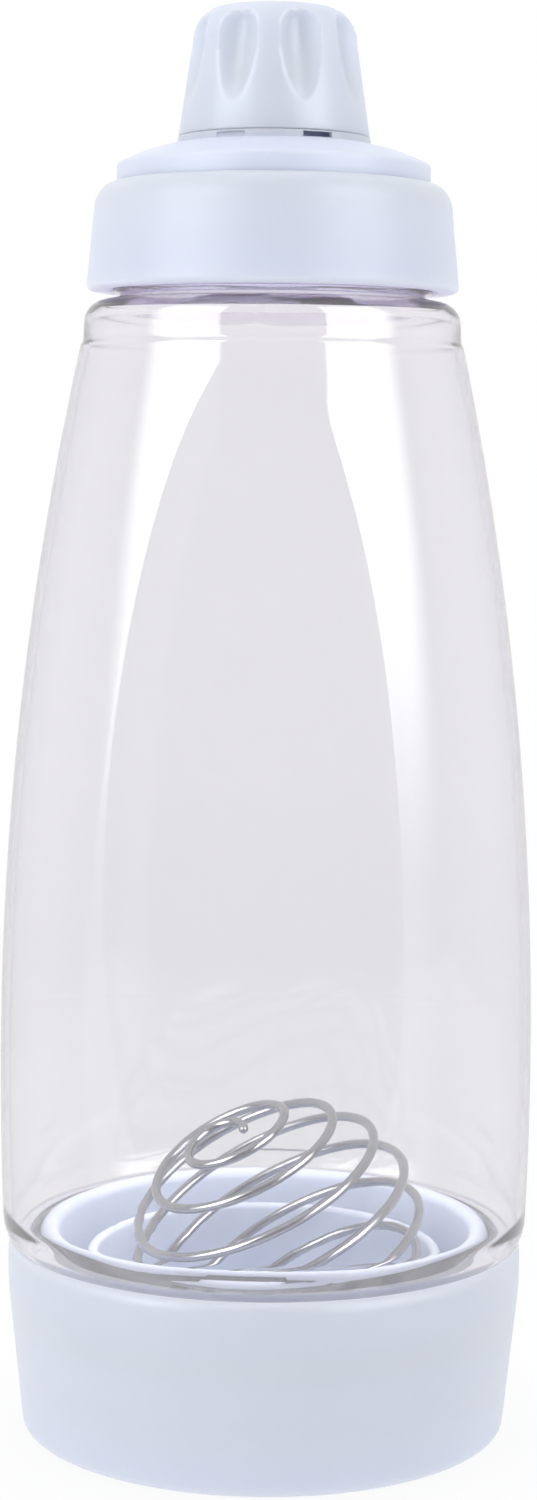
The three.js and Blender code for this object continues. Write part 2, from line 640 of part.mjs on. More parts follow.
addPiece(dispenser, 'base_cup', makeBaseCup(), WHITE_PLASTIC);
addPiece(bottleGroup, 'base_seal', makeBaseSeal(), SILICONE);
addPiece(bottleGroup, 'bottle_body', makeBottle(), CLEAR_PLASTIC);
addPiece(lidGroup, 'lid_collar', makeCollar(), WHITE_PLASTIC);
addPiece(lidGroup, 'lid_gasket', makeGasket(), SILICONE);
addPiece(lidGroup, 'spout_insert', makeSpout(), WHITE_PLASTIC);
addPiece(lidGroup, 'spout_valve', makeValve(), SILICONE);
addPiece(lidGroup, 'valve_retainer', makeRetainer(), WHITE_PLASTIC);
addPiece(capGroup, 'nozzle_cap', makeCap(), WHITE_PLASTIC);
addPiece(capGroup, 'cap_plug', makePlug(), SILICONE);

const wire = ballPath();
console.log(`whisk_ball: least gap of the wire to itself ${leastGap(wire).toFixed(2)} mm`);
const ball = addPiece(dispenser, 'whisk_ball', wireTube(wire), STEEL);
ball.quaternion.setFromUnitVectors(new THREE.Vector3(0, 0, 1), BALL_AXIS);
ball.rotateZ(degrees(BALL_PHASE));
const lowest = Math.min(...wire.map((point) => point.clone().applyQuaternion(ball.quaternion).z)) - WIRE_RADIUS;
ball.position.set(BALL_LEAN.x, BALL_LEAN.y, floorTop + GAP - lowest);

export default dispenser;
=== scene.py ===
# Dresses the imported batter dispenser: a fine mesh for each of its eleven pieces, procedural materials, a pale
# studio and a camera at the photograph's angle. Outlines are in millimetres, the scene itself is in metres.
import functools
import math

import bmesh
import bpy
from mathutils import Matrix, Vector


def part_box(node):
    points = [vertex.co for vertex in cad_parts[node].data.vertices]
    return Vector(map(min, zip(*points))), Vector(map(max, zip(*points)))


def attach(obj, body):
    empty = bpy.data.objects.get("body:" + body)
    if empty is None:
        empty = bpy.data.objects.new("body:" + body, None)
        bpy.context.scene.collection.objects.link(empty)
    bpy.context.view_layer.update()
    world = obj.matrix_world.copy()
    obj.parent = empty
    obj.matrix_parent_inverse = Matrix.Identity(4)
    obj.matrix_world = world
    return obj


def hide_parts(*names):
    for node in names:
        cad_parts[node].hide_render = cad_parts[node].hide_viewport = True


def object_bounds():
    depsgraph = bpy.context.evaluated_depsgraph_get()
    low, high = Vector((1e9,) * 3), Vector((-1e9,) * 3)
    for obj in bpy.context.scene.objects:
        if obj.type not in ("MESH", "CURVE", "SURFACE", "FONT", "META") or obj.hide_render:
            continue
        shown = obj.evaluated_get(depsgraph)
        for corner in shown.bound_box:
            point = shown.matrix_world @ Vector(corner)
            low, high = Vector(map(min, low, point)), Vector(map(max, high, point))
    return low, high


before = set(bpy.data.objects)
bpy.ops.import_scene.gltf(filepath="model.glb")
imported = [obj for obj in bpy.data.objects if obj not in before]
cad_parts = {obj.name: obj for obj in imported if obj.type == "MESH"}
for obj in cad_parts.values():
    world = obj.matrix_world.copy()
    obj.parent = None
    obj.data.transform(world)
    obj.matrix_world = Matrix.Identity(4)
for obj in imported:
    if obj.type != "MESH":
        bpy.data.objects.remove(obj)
cad_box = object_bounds()

MM = 0.001

# Photograph: its size in pixels and the camera that fits it, in millimetres and degrees
PHOTO_HEIGHT = 1500
FOCAL_PIXELS = 2968
SENSOR = 36
CAMERA_DISTANCE = 553.5  # from the dispenser's axis
CAMERA_HEIGHT = 183.2
CAMERA_AZIMUTH = 4.2
CAMERA_TILT = 5.65
CAMERA_ROLL = 0.53

# Fineness of the meshes
SIDES = 144
CAP_SIDES = 192
ROW = 0.3  # height of a row of faces along a thread
ARC_STEPS = 5
SHARP_ANGLE = 40  # degrees above which an edge stays crisp
EDGE = 0.3  # rounding of a moulded edge that has no larger one
SIDE_SHARE = 0.49  # most of a side that the rounding of one corner may take up
WALL_MATCH = 0.01  # a row this close to a wall's radius lies on it
WELD = 1e-7  # metres within which points become one

# Fits and threads, as in the solids
GAP = 0.3  # between two pieces that seat on each other
THREAD_GAP = 0.4  # between a thread's crest and the wall that it faces
STARTS = 2
BASE_THREAD = {"lead": 8, "height": 1.5, "root": 2.2, "crest": 1.2, "sweep": 210}
LID_THREAD = {"lead": 8, "height": 2, "root": 1.9, "crest": 1, "sweep": 210}
CAP_THREAD = {"lead": 6, "height": 1.4, "root": 1.5, "crest": 0.8, "sweep": 180}
THREAD_RUN_IN = 2.4  # plain wall before a thread
RIDGE_FADE = 12  # degrees over which a ridge dies away at its ends

# Base cup
BASE_FOOT_RADIUS = 45.6
BASE_FOOT_CORNER = 2
BASE_RIM_ROUND = 1.3
BASE_RIM_DROP = 2.2
RIM_ROWS = 6
BASE_TAPER_HEIGHT = 28
BASE_TAPER_BLEND = 60  # rounding where the flared wall turns straight
BASE_WALL = 2.2
FOOT_RING_WIDTH = 4
FOOT_RECESS = 6.9
FLOOR_THICKNESS = 3
FLOOR_FILLET = 2.5
CHANNEL_STEP = 1.6
GUARD_WALL = 3.6
GUARD_HEIGHT = 2.5  # above the bottle's heel
NEST_WALL = 2
NEST_DRAFT = 1
NEST_HEIGHT = 23.7
RING_ROWS = 12  # of the rounded tops of guard and nest

# Bottle, in heights above its heel
WALL = 1.6
BELLY_HEIGHT = 32
HEEL_RADIUS = 48.2
HEEL_ROUND = 5  # height over which the heel swells into the side
HEEL_ROWS = 6
HEEL_SET_IN = 0.5  # how far the side's foot stands in from the belly
HEEL_EDGE = 0.7
HEEL_INNER_ROUND = 1.5
SHOULDER_RADIUS = 35.5
BAND_HEIGHT = 166.4
BAND_STEP = 0.6
BAND_TAPER = 0.3
BAND_RUN = 1.6  # height of the rounded step under the band
BAND_ROWS = 6
BAND_LENGTH = 4
SHOULDER_CORNER = 4.2
SHOULDER_RISE = 1.2
NECK_FLARE = 4
LOWER_NECK_LENGTH = 14
LOWER_NECK_WALL = 1.6
UPPER_NECK_WALL = 2.1
BEAD_HEIGHT = 1.1
BEAD_REACH = 1.3
COLLAR_LIFT = 1.2
PANEL_TOP = 164.6
PANEL_TURN = 55.7  # height at which the straight panel starts to curve outwards
PANEL_DISTANCE = 41.9  # from the axis, at that height
PANEL_BOTTOM = 9.7
PANEL_FACING = 0.3  # cosine of the turn from front or back, below which a column lies on the round wall
PANEL_BLEND_TOP = 0.3  # how softly the panel's edge turns into the round wall, at its apex and at its foot
PANEL_BLEND_FOOT = 6
PANEL_BLEND_START = 100  # height below which it softens
BODY_ROW = 1.5
EDGE_OFFSETS = (-4, -2.2, -1.2, -0.6, -0.2, 0.2, 0.6, 1.2, 2.2, 4)  # degrees from the panel's edge
LEAST_EDGE = 5  # degrees from a panel's middle to the columns that follow its edge
PANEL_COLUMNS = 6
SIDE_COLUMNS = 18

# Collar and spout piece
COLLAR_DRAFT = 1.4
COLLAR_WALL = 3.8
COLLAR_CORNER = 3.7
COLLAR_CORNER_DROP = 5.2
COLLAR_EDGE = 1
LIP_THICKNESS = 2.3
LIP_REACH = 1.45
FLANGE_POCKET = 0.4
FLANGE_THICKNESS = 1.7
DISC_EDGE = 3.5
DISC_EDGE_ROUND = 0.8
DISC_WALL = 1.9
DISC_BULGE = 0.5  # how far the disc's top stands above a straight cone
DISC_ROWS = 8
RING_REACH = 0.15
RING_WALL = 1.4
RING_SEAM = 0.08  # dark line left between the ring and the cap
SLOT_WIDTH = 5.8
SLOT_HEIGHT = 0.95
SLOT_DEPTH = 2.1  # right through the ring's wall
SLOT_TURNS = (30.5, 210.5)  # degrees from the front, towards +X
NOTCH_TURNS = (-22.1, 157.9)  # blind ones
NOTCH_DEPTH = 0.5
NOTCH_TILT = 25  # its floor leans back by this angle
SPOUT_WALL = 1.9
SPOUT_STRAIGHT = 10.6
TIP_RADIUS = 7
TIP_ROUND = 0.8
TIP_LENGTH = 7
TIP_BORE = 5
TIP_LAND = 1.5
SEAT_REACH = 2
SEAT_DROP = 2.3

# Slit valve and its retainer
VALVE_FLANGE = 1.5
VALVE_WALL = 0.9
VALVE_DISH = 2
DISH_ROWS = 10
SLIT_LENGTH = 9
SLIT_WIDTH = 0.3
SLIT_CUT = 8  # height of the cutter, more than the dish is deep
RETAINER_WALL = 2.1

# Twist cap and its stopper
CAP_TAPER = 2.5
CAP_CORNER = 5.4
CAP_CORNER_RISE = 6.5
CAP_EDGE = 0.5
CAP_WALL = 3.6
CAP_THREAD_DEPTH = 9.2
CAP_TOP_WALL = 2.8
CAP_ROWS = 40
CORNER_ROWS = 14
PLUG_POCKET_RADIUS = 10
FLUTES = 8
FLUTE_DEPTH = 2.35
FLUTE_HALF_TURN = 15
FLUTE_TOP = 21.6  # heights above the cap's foot
FLUTE_BOTTOM = 5
FLUTE_DEEPEST = 16.5
FLUTE_TOP_BLUNTNESS = 4
FLUTE_BOTTOM_BLUNTNESS = 1.6
PLUG_STEM = 3.4
PLUG_CHAMFER = 0.8

# Whisk ball
BALL_RADIUS = 28.9
BALL_FLATNESS = 0.85
WIRE_RADIUS = 0.9
BALL_TURNS = 7.75
BALL_POLE = 0.225  # radians from a pole at which the winding starts
BALL_PLAY = 2.7  # between the ball and its nest
BALL_LEAN = (2.43, 0.18)  # how far its middle stands off the axis
BALL_AXIS = (-0.426, -0.226, 0.876)  # of the winding, which is turned about it by so many degrees
BALL_PHASE = 141.3
HOOK_TURNS = 0.36
HOOK_RADIUS = 3.9
HOOK_DIP = 0.8
LOOP_STEPS = 72
WIRE_SIDES = 14
WIRE_END_RINGS = 4

# Colours, linear
WHITE = (0.69, 0.735, 0.84, 1)
WHITE_SHADE = (0.66, 0.705, 0.82, 1)
CLEAR = (0.918, 0.912, 0.93, 1)
SHADOW_TINT = (0.99, 0.985, 0.99, 1)
MILKY = (0.93, 0.92, 0.97, 1)
MILKY_SHADE = (0.9, 0.89, 0.94, 1)
STEEL = (0.55, 0.55, 0.56, 1)
STEEL_SHADE = (0.46, 0.46, 0.47, 1)
FLOOR_WHITE = (0.86, 0.86, 0.87, 1)
WHITE_LIGHT = (1, 1, 1, 1)
WALL_TINT = (0.945, 0.925, 1.0, 1)

# Surfaces: patches of colour, patches of gloss and grains per metre, with the range of the roughness and the
# depth of the grain in metres
WHITE_SURFACE = {"tone": 70, "sheen": 160, "rough": (0.38, 0.48), "grain": 2600, "depth": 0.00001}
MILKY_SURFACE = {"tone": 120, "sheen": 300, "rough": (0.48, 0.6), "grain": 1800, "depth": 0.00001}
STEEL_SURFACE = {"tone": 400, "sheen": 900, "rough": (0.12, 0.22), "grain": 3000, "depth": 0.000004}
CLEAR_WAVE = 45  # the clear wall is faintly wavy
CLEAR_WAVE_DEPTH = 0.000008
NOISE_RANGE = (0.3, 0.7)  # where most of the noise lies
PATCH_DETAIL = 3
GRAIN_DETAIL = 2

# Studio: softboxes to the left and right of the camera, in degrees and metres
LAMP_TURN = 52
LAMP_DISTANCE = 1.2
LAMP_HEIGHT = 0.5
LAMP_SIZE = (0.87, 1.1)
LAMP_POWERS = (4.0, 2.3)
TOP_LAMP_HEIGHT = 1.5
TOP_LAMP_SIZE = 1.0
TOP_LAMP_POWER = 5.5
FILL_LAMP_HEIGHT = 0.085  # small lamp inside the bottle, shining down on the base
FILL_LAMP_SIZE = 0.07
FILL_LAMP_POWER = 0.042
FILL_LAMP_SPREAD = 120
NECK_LAMP_HEIGHT = 0.2  # and one under its neck, shining up into the lid
NECK_LAMP_SIZE = 0.04
NECK_LAMP_POWER = 0.015
NECK_LAMP_TINT = (1, 0.8, 1)
AMBIENT_FRONT = 0.5  # what matt surfaces get from the room in front of the object and behind it
AMBIENT_BEHIND = 1.0
AMBIENT_TURNS = (45, 135)  # turns from the camera's direction between which the one becomes the other
BOX_NEAR = 33  # a softbox's reflection spans these turns from the camera's direction
BOX_FAR = 76
BOX_LOW = 5  # and these rises above the horizon
BOX_LOW_FADE = 8.5
BOX_FOOT = 0.08  # share of a softbox that still shows below
BOX_HIGH = 45
BOX_SOFT = 1.5  # half the width of its near edge, and of its far and upper ones
BOX_FADE = 8
BOX_GLOW = 7
ROOM_DARK = 0.2  # what the dark room behind the camera shines back
ROOM_SIDE = 0.88
ROOM_TURNS = (60, 120)  # turns from the camera's direction between which the room gets light
CEILING_RISES = (30, 60)  # rises above the horizon between which it turns white
WALL_GLOW = 0.91  # what is thrown back inside the clear wall
FLOOR_RADIUS = 4
FLOOR_SIDES = 64
FLOOR_GLOW = 0.88  # share of the floor that is white by itself and takes no shadow, under the object
FLOOR_FADE = (0.06, 0.45)  # distances between which it becomes all of the floor


@functools.cache
def low(solid):
    """Height of a solid's foot in millimetres."""
    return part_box(solid)[0][2] / MM


@functools.cache
def high(solid):
    """Height of a solid's top in millimetres."""
    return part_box(solid)[1][2] / MM


@functools.cache
def reach(solid):
    """Outer radius of a solid in millimetres."""
    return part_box(solid)[1][0] / MM


def place(r, turn, z):
    """Point in metres at a radius and height in millimetres, turned in degrees from the front towards +X."""
    angle = math.radians(turn)
    return Vector((r * math.sin(angle), -r * math.cos(angle), z)) * MM


def clamp(x):
    return min(1.0, max(0.0, x))


def ease(x):
    """Smooth step from 0 to 1."""
    x = clamp(x)
    return x * x * (3 - 2 * x)


# Meshes


def climb(r, start, end):
    """Corners of an upright wall, one for every row of a thread."""
    rows = max(1, round(abs(end - start) / ROW))
    return [(r, start + (end - start) * i / rows, 0) for i in range(rows + 1)]


def round_corner(here, before, after, size):
    """Points of the arc that rounds a corner, shortened where the sides next to it are short."""
    to_before = before - here
    to_after = after - here
    half = to_before.angle(to_after) / 2
    run = min(size / math.tan(half), SIDE_SHARE * to_before.length, SIDE_SHARE * to_after.length)
    first = here + to_before.normalized() * run
    last = here + to_after.normalized() * run
    middle = (to_before.normalized() + to_after.normalized()).normalized()
    centre = here + middle * run / math.cos(half)
    start = math.atan2(*reversed(first - centre))
    sweep = math.atan2(*reversed(last - centre)) - start
    sweep = (sweep + math.pi) % (2 * math.pi) - math.pi
    radius = (first - centre).length
    points = []
    for i in range(ARC_STEPS + 1):
        angle = start + sweep * i / ARC_STEPS
        points.append(centre + radius * Vector((math.cos(angle), math.sin(angle))))
    return points


def rounded(corners):
    """Points of a closed outline of (radius, height, rounding) corners."""
    spots = [Vector(corner[:2]) for corner in corners]
    points = []
    for i, corner in enumerate(corners):
        if corner[2] == 0:
            points.append(spots[i])
        else:
            after = spots[(i + 1) % len(spots)]
            points += round_corner(spots[i], spots[i - 1], after, corner[2])
    return points


def open_outline(corners):
    """Points of an open outline, whose end corners stay sharp."""
    return rounded([(*corners[0][:2], 0), *corners[1:-1], (*corners[-1][:2], 0)])


def skin(name, rings, ends="joined"):
    """Piece whose surface runs over rings of equally many points. Its ends are joined, or capped."""
    mesh = bmesh.new()
    rows = [[mesh.verts.new(point) for point in ring] for ring in rings]
    count = len(rows[0])
    pairs = list(zip(rows, rows[1:]))
    if ends == "joined":
        pairs.append((rows[-1], rows[0]))
    else:
        mesh.faces.new(rows[0])
        mesh.faces.new(rows[-1])
    for lower, upper in pairs:
        for j in range(count):
            k = (j + 1) % count
            mesh.faces.new((lower[j], lower[k], upper[k], upper[j]))
    bmesh.ops.remove_doubles(mesh, verts=mesh.verts, dist=WELD)
    loose = [edge for edge in mesh.edges if not edge.link_faces]
    bmesh.ops.delete(mesh, geom=loose, context="EDGES")
    bmesh.ops.recalc_face_normals(mesh, faces=mesh.faces)
    data = bpy.data.meshes.new(name)
    mesh.to_mesh(data)
    mesh.free()
    piece = bpy.data.objects.new(name, data)
    bpy.context.scene.collection.objects.link(piece)
    return piece


def turn_outline(name, corners, sides=SIDES, relief=None):
    """Turned piece. relief(r, z, turn) gives how far a point of its surface is moved outwards."""
    turns = [360.0 * i / sides for i in range(sides)]
    rings = []
    for r, z in rounded(corners):
        rings.append([place(r + (relief(r, z, t) if relief else 0), t, z) for t in turns])
    return skin(name, rings)


def smooth(piece):
    """Smooth shading with crisp moulded edges."""
    mesh = piece.data
    mesh.polygons.foreach_set("use_smooth", [True] * len(mesh.polygons))
    mesh.set_sharp_from_angle(angle=math.radians(SHARP_ANGLE))
    mesh.update()


def cut(piece, blocks):
    """Cuts boxes, each given as (size, matrix) in metres, out of a piece."""
    for size, matrix in blocks:
        mesh = bmesh.new()
        bmesh.ops.create_cube(mesh, size=1, matrix=matrix @ Matrix.Diagonal((*size, 1)))
        data = bpy.data.meshes.new("cutter")
        mesh.to_mesh(data)
        mesh.free()
        cutter = bpy.data.objects.new("cutter", data)
        bpy.context.scene.collection.objects.link(cutter)
        modifier = piece.modifiers.new("cut", "BOOLEAN")
        modifier.operation = "DIFFERENCE"
        modifier.solver = "EXACT"
        modifier.object = cutter
        evaluated = piece.evaluated_get(bpy.context.evaluated_depsgraph_get())
        piece.data = bpy.data.meshes.new_from_object(evaluated)
        piece.modifiers.clear()
        bpy.data.objects.remove(cutter)


def ridges(thread, wall, start, outwards):
    """Relief of a two-start thread on a wall, as in the solids, with ends that die away."""

    def relief(r, z, turn):
        if abs(r - wall) > WALL_MATCH:
            return 0.0
        share = 0.0
        for k in range(STARTS):
            along = (turn - 360.0 * k / STARTS) % 360.0
            off = abs(z - start - thread["lead"] * along / 360)
            flank = (thread["root"] / 2 - off) / (thread["root"] / 2 - thread["crest"] / 2)
            fade = min(along, thread["sweep"] - along) / RIDGE_FADE
            share = max(share, ease(flank) * ease(fade))
        return outwards * thread["height"] * share

    return relief


def oval_edge(r, foot, inwards, rise, rows):
    """Corners of an edge that rounds inwards from a wall, as a quarter of an oval."""
    angles = [math.pi / 2 * i / rows for i in range(rows + 1)]
    return [(r - inwards * (1 - math.cos(a)), foot + rise * math.sin(a), 0) for a in angles]


def round_top(outer, inner, top, rows):
    """Corners of the half-round top of a wall, from its outer to its inner side."""
    half = (outer - inner) / 2
    angles = [math.pi * i / rows for i in range(rows + 1)]
    return [(inner + half * (1 + math.cos(a)), top - half * (1 - math.sin(a)), 0) for a in angles]


def flat_ring(name, inner, outer, floor, top):
    """Plain ring with rounded edges."""
    corners = [(inner, floor, EDGE), (outer, floor, EDGE), (outer, top, EDGE), (inner, top, EDGE)]
    return turn_outline(name, corners)


# Base


def base_bore():
    return reach("base_cup") - BASE_WALL


def lower_neck():
    return base_bore() - THREAD_GAP - BASE_THREAD["height"]


def lower_thread_start():
    return low("bottle_body") + THREAD_RUN_IN + BASE_THREAD["root"] / 2


def heel_height():
    return low("bottle_body") + LOWER_NECK_LENGTH


def make_base_cup():
    rim = reach("base_cup")
    height = heel_height() - GAP
    bore = base_bore()
    rebate = reach("base_seal") + GAP
    rebate_floor = low("base_seal") - GAP
    channel = bore - CHANNEL_STEP
    channel_top = low("bottle_body") - GAP
    floor = FOOT_RECESS + FLOOR_THICKNESS
    guard = lower_neck() - LOWER_NECK_WALL - GAP
    guard_top = heel_height() + GUARD_HEIGHT
    nest = BALL_RADIUS + BALL_PLAY
    nest_top = floor + NEST_HEIGHT
    foot_inner = BASE_FOOT_RADIUS - BASE_FOOT_CORNER - FOOT_RING_WIDTH
    corners = [
        (foot_inner, 0, EDGE),
        (BASE_FOOT_RADIUS, 0, BASE_FOOT_CORNER),
        (rim, BASE_TAPER_HEIGHT, BASE_TAPER_BLEND),
        *oval_edge(rim, height - BASE_RIM_DROP, BASE_RIM_ROUND, BASE_RIM_DROP, RIM_ROWS),
        (rebate, height, EDGE),
        (rebate, rebate_floor, EDGE),
        *climb(bore, rebate_floor, channel_top),
        (channel, channel_top - CHANNEL_STEP, EDGE),
        (channel, floor, FLOOR_FILLET),
        (guard, floor, FLOOR_FILLET),
        *round_top(guard, guard - GUARD_WALL, guard_top, RING_ROWS),
        (guard - GUARD_WALL, floor, FLOOR_FILLET),
        (nest + NEST_WALL + NEST_DRAFT, floor, FLOOR_FILLET),
        *round_top(nest + NEST_WALL, nest, nest_top, RING_ROWS),
        (nest - NEST_DRAFT, floor, FLOOR_FILLET),
        (0, floor, 0),
        (0, FOOT_RECESS, 0),
        (foot_inner, FOOT_RECESS, EDGE),
    ]
    start = lower_thread_start() + BASE_THREAD["lead"] / STARTS / 2
    return turn_outline("white_base_cup", corners, relief=ridges(BASE_THREAD, bore, start, -1))


def make_seal():
    inner = lower_neck() + GAP
    return flat_ring("heel_seal", inner, reach("base_seal"), low("base_seal"), high("base_seal"))


# Bottle


def collar_bore():
    return reach("lid_collar") - COLLAR_WALL


def upper_neck():
    return collar_bore() - THREAD_GAP - LID_THREAD["height"]


def upper_thread_start():
    top = high("bottle_body") - THREAD_RUN_IN - LID_THREAD["root"] / 2
    return top - LID_THREAD["lead"] * LID_THREAD["sweep"] / 360


def body_radius(z):
    """Outer radius of the bottle by height above its heel, up to the shoulder band."""
    belly = reach("bottle_body")
    rise = z - BELLY_HEIGHT
    span = BAND_HEIGHT - BELLY_HEIGHT if rise > 0 else BELLY_HEIGHT - HEEL_ROUND
    drop = belly - SHOULDER_RADIUS if rise > 0 else HEEL_SET_IN
    bend = (span * span + drop * drop) / (2 * drop)
    return belly - bend + math.sqrt(bend * bend - rise * rise)


def panel_distance(z):
    """Distance of the grip panel from the axis: straight above its turn, a parabola below."""
    slope = (PANEL_DISTANCE - body_radius(PANEL_TOP)) / (PANEL_TOP - PANEL_TURN)
    drop = PANEL_TURN - z
    if drop < 0:
        return PANEL_DISTANCE + slope * drop
    run = PANEL_TURN - PANEL_BOTTOM
    bend = (body_radius(PANEL_BOTTOM) - PANEL_DISTANCE - slope * run) / (run * run)
    return PANEL_DISTANCE + slope * drop + bend * drop * drop


def soft_least(a, b, softness):
    """The smaller of two distances, rounded where they meet."""
    share = clamp(0.5 + 0.5 * (b - a) / softness)
    return b + (a - b) * share - softness * share * (1 - share)


def column_turns(edge):
    """Turns of a ring's points: crowded along the edges of the panels in front and behind."""
    edge = max(LEAST_EDGE, edge)
    first = edge + EDGE_OFFSETS[0]
    last = edge + EDGE_OFFSETS[-1]
    quarter = [first * i / PANEL_COLUMNS for i in range(PANEL_COLUMNS)]
    quarter += [edge + offset for offset in EDGE_OFFSETS]
    quarter += [last + (90 - last) * i / SIDE_COLUMNS for i in range(1, SIDE_COLUMNS + 1)]
    half = quarter + [180 - turn for turn in quarter[-2::-1]]
    return half + [360 - turn for turn in half[-2:0:-1]]


def body_ring(z, inset):
    """Ring of the panelled wall at a height above the heel, or of its inner side."""
    wall = body_radius(z) - inset
    panel = panel_distance(z) - inset
    panelled = z > PANEL_BOTTOM and panel < wall
    edge = math.degrees(math.acos(panel / wall)) if panelled else 0
    softness = PANEL_BLEND_FOOT + (PANEL_BLEND_TOP - PANEL_BLEND_FOOT) * ease(z / PANEL_BLEND_START)
    ring = []
    for turn in column_turns(edge):
        across = abs(math.cos(math.radians(turn)))
        r = soft_least(wall, panel / across, softness) if across > PANEL_FACING else wall
        ring.append(place(r, turn, heel_height() + z))
    return ring


def bottle_ring(r, z, relief=None):
    """Turned ring of the bottle, with the columns of its panelled rings."""
    heel = heel_height()
    turns = column_turns(0)
    return [place(r + (relief(r, heel + z, t) if relief else 0), t, heel + z) for t in turns]


def body_rows():
    rows = round((BAND_HEIGHT - HEEL_ROUND) / BODY_ROW)
    return [HEEL_ROUND + (BAND_HEIGHT - HEEL_ROUND) * i / rows for i in range(rows + 1)]


def make_bottle():
    rim = high("bottle_body") - heel_height()
    neck = lower_neck()
    upper = upper_neck()
    upper_inner = upper - UPPER_NECK_WALL
    band = SHOULDER_RADIUS - BAND_STEP
    corner_top = BAND_HEIGHT + BAND_LENGTH + SHOULDER_CORNER
    body_top = corner_top + SHOULDER_RISE
    bead = body_top + COLLAR_LIFT - BEAD_HEIGHT / 2
    lower_relief = ridges(BASE_THREAD, neck, lower_thread_start(), 1)
    upper_relief = ridges(LID_THREAD, upper, upper_thread_start(), 1)

    foot = [
        (neck - LOWER_NECK_WALL, -LOWER_NECK_LENGTH, EDGE),
        (neck, -LOWER_NECK_LENGTH, EDGE),
        *climb(neck, -LOWER_NECK_LENGTH + ROW, -ROW),
        (neck, 0, 0),
        (HEEL_RADIUS, 0, HEEL_EDGE),
    ]
    for i in range(1, HEEL_ROWS):
        share = i / HEEL_ROWS
        swell = (body_radius(HEEL_ROUND) - HEEL_RADIUS) * (1 - (1 - share) ** 2)
        foot.append((HEEL_RADIUS + swell, HEEL_ROUND * share, 0))
    step = [i / BAND_ROWS for i in range(1, BAND_ROWS + 1)]
    shoulder = [
        *((SHOULDER_RADIUS - BAND_STEP * ease(share), BAND_HEIGHT + BAND_RUN * share, 0) for share in step),
        (band - BAND_TAPER, corner_top, SHOULDER_CORNER),
        (upper, body_top, EDGE),
        (upper, bead, 0),
        (upper + BEAD_REACH, bead + BEAD_HEIGHT / 4, EDGE),
        (upper + BEAD_REACH, bead + BEAD_HEIGHT, EDGE),
        *climb(upper, bead + 2 * BEAD_HEIGHT, rim - EDGE),
        (upper, rim, EDGE),
        (upper_inner, rim, EDGE),
        (upper_inner, body_top - WALL, NECK_FLARE),
        (band - BAND_TAPER - WALL, corner_top - WALL, SHOULDER_CORNER),
    ]
    inside = [
        (HEEL_RADIUS - WALL, LOWER_NECK_WALL, HEEL_INNER_ROUND),
        (neck - LOWER_NECK_WALL, LOWER_NECK_WALL, EDGE),
    ]
    rows = body_rows()
    rings = [bottle_ring(r, z, lower_relief) for r, z in open_outline(foot)]
    rings += [body_ring(z, 0) for z in rows]
    rings += [bottle_ring(r, z, upper_relief) for r, z in open_outline(shoulder)]
    rings += [body_ring(z, WALL) for z in reversed(rows)]
    rings += [bottle_ring(r, z) for r, z in open_outline(inside)]
    return skin("clear_bottle", rings)


# Lid


def make_collar():
    foot = low("lid_collar")
    top = high("lid_collar")
    radius = reach("lid_collar")
    bore = collar_bore()
    lip = bore - LIP_REACH
    pocket = bore + FLANGE_POCKET
    pocket_floor = low("lid_gasket")
    side_top = top - COLLAR_CORNER_DROP
    corners = [
        (radius, foot, COLLAR_EDGE),
        *oval_edge(radius - COLLAR_DRAFT, side_top, COLLAR_CORNER, COLLAR_CORNER_DROP, CORNER_ROWS),
        (lip, top, EDGE),
        (lip, top - LIP_THICKNESS, EDGE),
        (pocket, top - LIP_THICKNESS, EDGE),
        (pocket, pocket_floor, EDGE),
        *climb(bore, pocket_floor - FLANGE_POCKET, foot),
    ]
    start = upper_thread_start() - LID_THREAD["lead"] / STARTS / 2
    return turn_outline("screw_collar", corners, relief=ridges(LID_THREAD, bore, start, -1))


def make_gasket():
    inner = upper_neck() - UPPER_NECK_WALL
    return flat_ring("neck_gasket", inner, reach("lid_gasket"), low("lid_gasket"), high("lid_gasket"))


def spout_radius():
    return reach("nozzle_cap") - CAP_WALL - THREAD_GAP - CAP_THREAD["height"]


def spout_thread_start():
    top = high("spout_insert") - TIP_LENGTH - GAP - CAP_THREAD["root"] / 2
    return top - CAP_THREAD["lead"] * CAP_THREAD["sweep"] / 360


